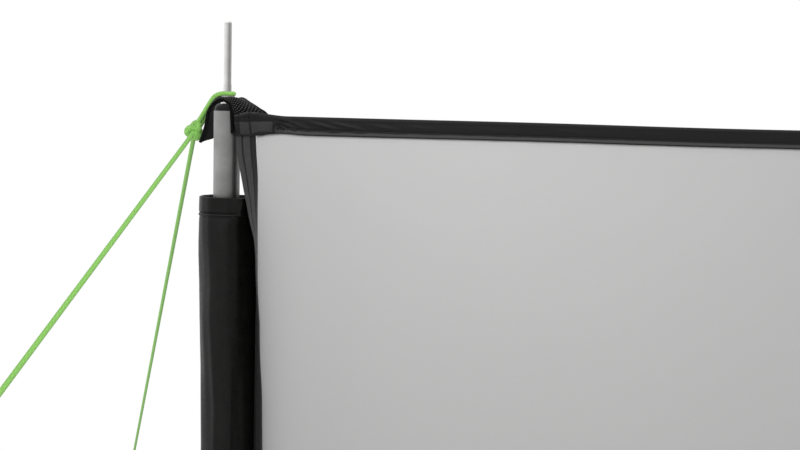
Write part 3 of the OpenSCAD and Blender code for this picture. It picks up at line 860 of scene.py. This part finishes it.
def sleeve(pole, material):
    rng = np.random.default_rng(200 + pole)
    at_end = pole in (0, POLES - 1)
    top, low = -MOUTH_DROP, MOUTH_LIFT - TOP
    heights = np.concatenate([
        top - MOUTH_STEPS,
        np.linspace(top - 17, -260, 58)[:-1],
        np.linspace(-260, low + 60, 104)[:-1],
        np.linspace(low + 60, low + 16, 10)[:-1],
        low + MOUTH_STEPS[::-1],
    ])
    t = np.linspace(0, 1, SLEEVE_SIDES + 1)
    off_seam = ramp(np.minimum(t, 1 - t), 0, 0.1)
    # share of the girth, z, width, length, lean and rise of each fold
    limits = [(0.06, 0.94), (low, top), (0.02, 0.045), (22, 70), (-0.0003, 0.0009), (-0.75, 0.9)]
    folds = [[rng.uniform(*pair) for pair in limits] for _ in range(SLEEVE_FOLDS)]
    phase = rng.uniform(0, 6.3, len(SLEEVE_WAVES) + 1)
    rows = []
    for z in heights:
        line = round_outline(sleeve_outline(z, at_end), SLEEVE_SIDES)
        step = np.gradient(line, axis=0)
        normal = unit(np.stack([-step[:, 1], step[:, 0]], axis=1))
        drop = min(top - z, z - low)
        free = ease((drop - 9) / 55)
        d = np.zeros_like(t)
        for (height, count, twist), shift in zip(SLEEVE_WAVES, phase):
            d += height * np.sin(2 * math.pi * count * t + z / twist + shift)
        for fold in folds:
            if abs(z - fold[1]) < 2.5 * fold[3]:
                d += 0.6 * slanting(fold, z, t)
        d = 0.45 * d * free * off_seam * (1 - 0.75 * hump(t, 0.19, 0.05))
        for fold in FRONT_FOLDS:
            d += ease((drop - 15) / 6) * slanting(fold, z, t)
        d += 0.25 * (1 - free) * off_seam * np.sin(2 * math.pi * 4 * t + phase[-1])
        hem_band = 0.35 * ease((14.9 - drop) / 1.2) + 0.25 * hump(drop, 12.65, 0.9)
        hem_band = hem_band - 0.55 * sum(hump(drop, row, 0.55) for row in SLEEVE_ROWS)
        line = line + (d + hem_band * off_seam)[:, None] * normal
        mouth_rise = 0.9 * (1 - ease((top - z) / 45))
        rows.append(np.column_stack([line, np.full(len(line), z + mouth_rise)]))
    grid = np.array(rows)
    grid = np.concatenate([turned_in(grid[0], 1)[::-1], grid, turned_in(grid[-1], -1)])
    girth_row = 40
    girth = lengths(grid[girth_row])
    v = lengths(grid[:, SLEEVE_SIDES // 3])
    v = v - v[len(TURNED_IN)]
    points = at_pole(grid, pole).reshape(-1, 3)
    piece = add_piece(f"pole_sleeve_{pole + 1}", points, grid_faces(*grid.shape[:2]), grid_uv(girth, v),
                      material, "sleeve_cloth", [f"sleeve_{pole + 1}"], flip=pole == POLES - 1)


# Webbing straps over the pole tops

# Steps between guide rows and between guide points, and the steps across that are kept
STRAP_ALONG, STRAP_ACROSS = 12, 40
STRAP_PLACES = np.concatenate([np.arange(14), np.linspace(17, 103, 20).round(), np.arange(107, 121)])
SELVEDGE = 3.0
STRAP_HOLE = 4.0


def on_corner(along, side, z):
    c, s = math.cos(CORNER_ANGLE), math.sin(CORNER_ANGLE)
    return [BEND_X - along * c - side * s, side * c - along * s, z]


def strap_side():
    """Guide rows from the sewn end behind the cloth's corner up to the spike, four points across each."""
    w, q, y, top = STRAP_W / 2, STRAP_W / 4, 2.0, STRAP_Z
    sewn = []
    for z, past in ((1 - HEM_DEPTH - HEM_DROP, 1.2), (-HEM_DROP - 0.5, 2.0)):
        sewn.append([on_corner(CORNER_LEN + past, y, z), on_corner(CORNER_LEN / 2 - 1, y, z),
                     [BEND_X - y * math.tan(CORNER_ANGLE / 2), y, z], [BEND_X + 8, y, z]])
    return sewn + [
        [[3.6, 0.8 - w, 1.4], [10.8, -q - 0.5, 3], [17, 0.6, 2.6], [23.5, 5.4, 1.4]],
        [[2.8, -w, top - 4.4], [8.2, -q, top - 1.3], [11.6, 3.6, top - 1.7], [15.7, 8.9, top - 3.6]],
        [[1.2, -w, top - 3.2], [5, -q, top], [6, q, top], [8.5, w, top]],
    ]


def strap_loose():
    """Guide rows from the spike over the pole's edge and down the loose end."""
    w, q, r, f, top = STRAP_W / 2, STRAP_W / 4, -STRAP_R, FLAP_DROP, STRAP_Z
    return [
        [[-2.4, -w, top - 1.6], [-0.8, -q, top], [-0.4, q, top - 0.3], [0, w, top - 4.6]],
        [[-6.8, -w, top - 4.2], [-6, -q, top - 0.2], [-6, q, top - 0.6], [-6.5, w, top - 1.9]],
        [[r - 0.4, -w, -0.4], [r - 0.2, -q, 2.3], [r + 0.2, q, 2.5], [r + 0.9, w, 1.5]],
        [[r - 3.2, -w, -0.6 * f], [r - 1.9, -q, -0.54 * f],
         [r - 0.6, q, -0.51 * f], [r + 0.5, w, -0.49 * f]],
        [[r - 6.7, -w, -1.4 - f], [r - 4.5, -q, -f], [r - 2.2, q, 1 - f], [r - 0.2, w, 2.4 - f]],
    ]


def strap(pole, material):
    w, q = STRAP_W / 2, STRAP_W / 4
    guide = strap_side()
    if pole in (0, POLES - 1):
        guide = guide + strap_loose()
    else:
        middle = [[[0, -w, STRAP_Z - 1.8], [0, -q, STRAP_Z], [0, q, STRAP_Z], [0, w, STRAP_Z]]]
        guide = guide + middle + [[[-x, y, z] for x, y, z in row] for row in reversed(guide)]
    long = curve_through(guide, STRAP_ALONG)
    grid = np.array([curve_through(row, STRAP_ACROSS) for row in long])
    across = STRAP_W * STRAP_PLACES / (grid.shape[1] - 1)
    grid = grid[:, STRAP_PLACES.astype(int)]
    along = lengths(grid[:, grid.shape[1] // 2])
    # thick, rounded selvedges
    edge = np.clip(np.minimum(across, STRAP_W - across) / SELVEDGE, 0, 1)
    rounding = 0.3 + 0.7 * np.sqrt(ramp(edge, 0, 0.3))
    points, faces = shell(grid, STRAP_T * (1 + 0.75 * hump(edge, 0.42, 0.3)) * rounding)
    # the spike's hole
    cells = 0.25 * (grid[:-1, :-1] + grid[1:, :-1] + grid[:-1, 1:] + grid[1:, 1:])
    hole = (np.hypot(cells[..., 0], cells[..., 1]) < STRAP_HOLE) & (cells[..., 2] > STRAP_Z - 3)
    faces = with_hole(faces, hole, *grid.shape[:2])
    # the underside's coordinates lie past the weave, so it stays plain, without the weave's painted
    # highlight
    uv = grid_uv(across, along)
    both = np.concatenate([uv + [10 * STRAP_W, 0], uv])
    piece = add_piece(f"webbing_{pole + 1}", at_pole(points, pole), faces, both, material,
                      "webbing", [f"strap_{pole + 1}"], flip=pole == POLES - 1, sharp=60)


# Guy lines

# Where a loop bends off the spike and where its knot sits: reach from the pole's axis and z
END_BEND, END_KNOT = (9.775, 8.1), (23.1, -14.8)
EDGE_BEND, EDGE_BEND2 = (13.65, 11.55), (13.65, 13.2)
KNOT_RUN = 14.0
KNOT_SIZE = 1.68
KNOT_DEPTH = 2.1
KNOT_R = 2.7


def turned(points, angle):
    c, s = math.cos(angle), math.sin(angle)
    p = np.array(points, float)
    return np.stack([p[..., 0] * c - p[..., 1] * s, p[..., 0] * s + p[..., 1] * c, p[..., 2]], axis=-1)


def braid(turn, v):
    """Swelling of a line's skin where its strands cross."""
    return 1 + 0.045 * np.cos(5 * turn + 1.7 * v) * np.cos(5 * turn - 1.7 * v)


def pressed(turn, v):
    """Section of two strands of line pressed together in a knot."""
    return (1 + 0.15 * np.cos(2 * turn)) * braid(turn, v)


def loop_and_knot(bend, knot, z):
    """A loop round the spike and the knot that closes it, for a line that leaves along +X."""
    bend, knot = np.array([bend[0], 0, bend[1]]), np.array([knot[0], 0, knot[1]])
    axis = unit(knot - bend)
    level = np.array([0.0, 1.0, 0.0])
    up = np.cross(axis, level)
    beside = (LINE_R + 0.05) * level
    half = [
        knot + axis * 1 + 0.4 * beside,
        knot - axis * 3 + beside,
        knot - axis * 7.5 + beside,
        0.5 * (knot + bend) - axis * 1.5 + 1.4 * beside,
        bend + (LOOP_R - 0.35) * level,
        [0.42 * bend[0] + 0.5 * LOOP_R, LOOP_R, z - 1.2],
        [0.65 * LOOP_R, LOOP_R, z - 0.15],
    ]
    around = np.radians([90, 112, 135, 158, 180])
    half += [[LOOP_R * math.cos(a), LOOP_R * math.sin(a), z] for a in around]
    half = np.array(half)
    back = half[-2::-1] * [1, -1, 1]
    # one strand lies a little above the other
    splay = np.array([0.5, 0.9, 1.0, 0.7, 0.2, 0, 0, 0, 0, 0, 0, 0])[:, None] * up
    path = curve_through(np.concatenate([half + splay, back - splay[-2::-1]]), 9)
    # the doubled line's overhand knot, as a closed curve that the strands run into
    t = np.linspace(0, 2 * math.pi, 220)
    a = np.sin(t) + 2 * np.sin(2 * t)
    b = np.cos(t) - 2 * np.cos(2 * t)
    flat = a[:, None] * (0.77 * axis - 0.64 * up) + b[:, None] * (0.77 * up + 0.64 * axis)
    over = knot + [0.2, 0, 0] - KNOT_SIZE * flat - KNOT_DEPTH * np.sin(3 * t)[:, None] * level
    return [tube(path, LINE_R, 18, braid), tube(over, KNOT_R, 20, pressed)]


def edge_knot(bend):
    return bend[0] + KNOT_RUN * math.cos(SLOPE), bend[1] - KNOT_RUN * math.sin(SLOPE)


def leg(knot, turn):
    """A line from a knot down to its peg, round it and back up to the runner."""
    knot = np.array([knot[0], 0, knot[1]])
    length = (TOP + knot[2] - PEG_Z) / math.sin(SLOPE)
    back_x = length - RUNNER_REACH - RUNNER_T / 2 - 0.1
    down = np.linspace([1.0, 0, 0], [length, PEG_SIDE, 0], 330)
    around = np.linspace(1.45, -1.45, 15)
    bend = [[length + PEG_SIDE * math.cos(a), PEG_SIDE * math.sin(a), 0] for a in around]
    up = np.linspace([length, -PEG_SIDE, 0], [back_x - 2, -RUNNER_SIDE, 0], 60)
    path = np.concatenate([down, bend, up])
    # stopper knot behind the runner
    t = np.linspace(0, 1, 40)
    spin = 2 * math.pi * 1.6 * t
    swell = 1.0 + 2.0 * ease(t / 0.2) * ease((1 - t) / 0.2)
    stop_x = back_x - 4.5 + 4.6 * t
    stop = np.stack([stop_x, -RUNNER_SIDE + swell * np.cos(spin), swell * np.sin(spin)], axis=1)
    c, s = math.cos(SLOPE), math.sin(SLOPE)

    def placed(p):
        tilted = np.stack([p[:, 0] * c + p[:, 2] * s, p[:, 1], -p[:, 0] * s + p[:, 2] * c], axis=1)
        return turned(tilted, turn) + knot

    return [tube(placed(path), LINE_R, 12), tube(placed(stop), LINE_R * 0.95, 10)]


def guy_lines(pole, material):
    if pole in (0, POLES - 1):
        loops = [(math.pi, END_BEND, END_KNOT, LOOP_Z, (SPREAD, -SPREAD))]
    else:
        loops = [(-math.pi / 2, EDGE_BEND, edge_knot(EDGE_BEND), LOOP_Z, (0.0,)),
                 (math.pi / 2, EDGE_BEND2, edge_knot(EDGE_BEND2), LOOP_Z2, (0.0,))]
    tops, legs = [], []
    for heading, bend, knot, z, turns in loops:
        for points, faces, uv in loop_and_knot(bend, knot, z):
            tops.append((turned(points, heading), faces, uv))
        for turn in turns:
            for points, faces, uv in leg(knot, turn):
                legs.append((turned(points, heading), faces, uv))
    for name, node, parts in (("line_loop", "guy_loop", tops), ("line_legs", "guy_legs", legs)):
        points, faces, uv = joined(parts)
        add_piece(f"{name}_{pole + 1}", at_pole(points, pole), faces, uv, material, "guy_line",
                  [f"{node}_{pole + 1}"], flip=pole == POLES - 1)


# Hard parts keep their solids

def dress(node, material):
    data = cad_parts[node].data
    data.materials.clear()
    data.materials.append(material)


# Floor and light, in metres

FLOOR_X = (-4.6, 9.4)
FLOOR_Y = (-5.6, 2.9)
DIM_SIDE = (0.89, -0.456, 0.0)


def add_floor():
    """A pale floor, a little brighter to the camera than to the object."""
    (left, right), (front, back) = FLOOR_X, FLOOR_Y
    corners = [(left, front, 0), (right, front, 0), (right, back, 0), (left, back, 0)]
    mesh = bpy.data.meshes.new("floor")
    mesh.from_pydata(corners, [], [(0, 1, 2, 3)])
    floor = bpy.data.objects.new("floor", mesh)
    scene.collection.objects.link(floor)
    m = Shader("floor", Base_Color=(0.86, 0.86, 0.855, 1), Roughness=0.9)
    plain = m.bsdf.outputs[0]
    glow = m.node("ShaderNodeEmission", {"Strength": 0.2}).outputs[0]
    bright = m.node("ShaderNodeAddShader", {0: plain, 1: glow}).outputs[0]
    ray = m.node("ShaderNodeLightPath").outputs["Is Camera Ray"]
    pick = m.node("ShaderNodeMixShader", {0: ray, 1: plain, 2: bright}).outputs[0]
    m.put(m.tree.nodes["Material Output"].inputs["Surface"], pick)
    mesh.materials.append(m.material)


def add_light(name, place, target, size, power, spread=180):
    """A soft lamp that shows neither in the picture nor in reflections."""
    light = bpy.data.lights.new(name, "AREA")
    light.shape = "RECTANGLE"
    light.size, light.size_y = size
    light.energy = power
    light.spread = math.radians(spread)
    lamp = bpy.data.objects.new(name, light)
    lamp.location = place
    lamp.rotation_euler = (Vector(target) - Vector(place)).to_track_quat("-Z", "Y").to_euler()
    lamp.visible_camera = False
    lamp.visible_glossy = False
    scene.collection.objects.link(lamp)


def add_world():
    """White to the camera and an even grey to the cloth.

    Reflections see it dim to the front right, and brighter elsewhere and above.
    """
    world = bpy.data.worlds.new("studio")
    scene.world = world
    world.use_nodes = True
    world.node_tree.nodes.clear()
    n = Nodes(world.node_tree)
    where = n.node("ShaderNodeTexCoord").outputs["Generated"]
    x, y, z = n.node("ShaderNodeSeparateXYZ", {0: where}).outputs
    dot = n.node("ShaderNodeVectorMath", {0: where, 1: DIM_SIDE}, operation="DOT_PRODUCT")
    away = n.between(dot.outputs["Value"], 1.0, -1.0, kind="LINEAR")
    side = n.math("MULTIPLY_ADD", n.math("SQRT", away), 0.8, 0.15)
    behind = n.between(x, -0.5, 0.5, 0.95, 0.4, "LINEAR")
    share = n.between(y, 0.1, 0.55, kind="LINEAR")
    level = n.node("ShaderNodeMix", {"Factor": share, "A": side, "B": behind}).outputs[0]
    above = n.between(z, 0.25, 0.8, 0.0, 0.5, "LINEAR")
    reflected = n.node("ShaderNodeBackground", {"Color": n.math("ADD", level, above)})
    white = n.node("ShaderNodeBackground", {"Color": (1, 1, 1, 1)})
    shader = n.node("ShaderNodeBackground", {"Color": (0.5, 0.5, 0.5, 1)})
    path = n.node("ShaderNodeLightPath")
    rays = (("Is Glossy Ray", reflected), ("Is Transmission Ray", white), ("Is Camera Ray", white))
    for ray, seen in rays:
        ends = {0: path.outputs[ray], 1: shader.outputs[0], 2: seen.outputs[0]}
        shader = n.node("ShaderNodeMixShader", ends)
    n.node("ShaderNodeOutputWorld", {0: shader.outputs[0]})


add_camera()
pole_steel = steel("pole_steel", 0.38, 0.43, (900.0, 900.0, 9.0), 0.00002)
zinc_steel = steel("zinc_steel", 0.85, 0.32, (2500.0, 2500.0, 60.0), 0.00002)
peg_steel = steel("peg_steel", 0.5, 0.42, (400.0, 400.0, 400.0), 0.00004)
eyelet_metal = steel("eyelet_metal", 0.6, 0.28, (700.0, 700.0, 700.0), 0.00003)
black_plastic = plastic("black_plastic", 0.0045, 0.42)
runner_plastic = plastic("runner_plastic", 0.012, 0.42)
cloth = panel_cloth()
hem_tape = tape_cloth("hem_tape", (0.0,), hem_shade, HEM_SEAMS)
edge_tape = tape_cloth("side_tape", TAPE_ROWS, side_shade)
sleeve_material = sleeve_cloth()
webbing_material = webbing()
line_material = guy_line()

for bay in range(BAYS):
    panel(bay, cloth)
    hem(bay, True, hem_tape)
    hem(bay, False, hem_tape)
    for right in (0, 1):
        side_tape(bay, right, edge_tape)
for pole in range(POLES):
    sleeve(pole, sleeve_material)
    strap(pole, webbing_material)
    guy_lines(pole, line_material)
    dress(f"tube_{pole + 1}", pole_steel)
    dress(f"cap_{pole + 1}", black_plastic)
    dress(f"spike_{pole + 1}", zinc_steel)
dress("feet", black_plastic)
dress("eyelets", eyelet_metal)
dress("runners", runner_plastic)
dress("pegs", peg_steel)

add_floor()
add_world()
add_light("key", (0.5, -2.6, 3.0), (0.4, 0, 1.2), (2.0, 1.5), 8)
add_light("near", (0.15, -0.45, 1.58), (0.2, 0, 1.33), (0.3, 0.25), 1.1)
add_light("fill", (4.2, -3.2, 3.0), (3.7, 0, 0.8), (3.0, 2.0), 34)
add_light("low", (-1.5, -0.1, 0.55), (-0.06, 0.06, 1.25), (0.6, 0.45), 2.1, 80)
add_light("back", (2.4, 4.2, 3.0), (2.4, 0, 0.8), (3.5, 2.0), 90)
